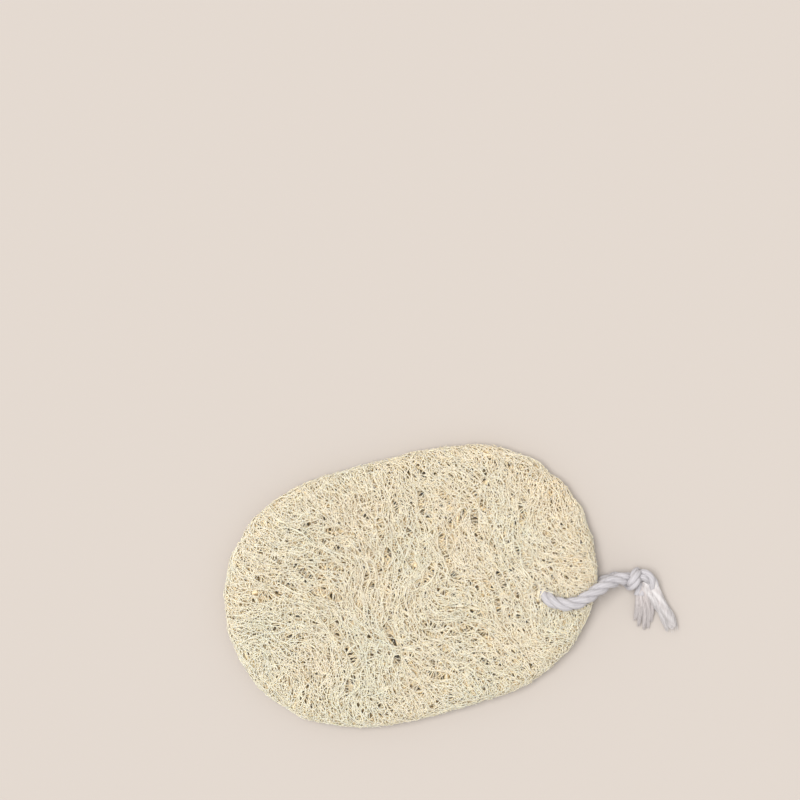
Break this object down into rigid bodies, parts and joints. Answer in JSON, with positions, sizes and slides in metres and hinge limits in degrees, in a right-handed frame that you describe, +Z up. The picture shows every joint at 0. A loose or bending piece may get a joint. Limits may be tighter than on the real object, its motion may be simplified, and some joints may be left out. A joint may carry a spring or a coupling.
{
  "type": "natural loofah sponge",
  "caption": "Flat oval bath sponge of pressed loofah fibre, with a short knotted loop of twisted cotton cord through a hole near one end.",
  "frame": {"origin": "middle of the pad's outline, on the surface that the pad lies on; the cord is left out of the measure", "axes": "+X along the pad's long axis towards the end with the cord, +Y across the pad, +Z up through its thickness"},
  "size_m": [0.1642, 0.097, 0.0176],
  "materials": {
    "loofah_fibre": "matte dry plant fibre, cream to straw",
    "cotton_cord": "matte twisted cotton, off-white"
  },
  "bodies": {
    "root": {"loofah_pad": "loofah_fibre", "cord_upper_run": "cotton_cord", "cord_lower_run": "cotton_cord", "cord_knot": "cotton_cord", "cord_end_long": "cotton_cord", "cord_end_short": "cotton_cord"}
  },
  "joints": []
}
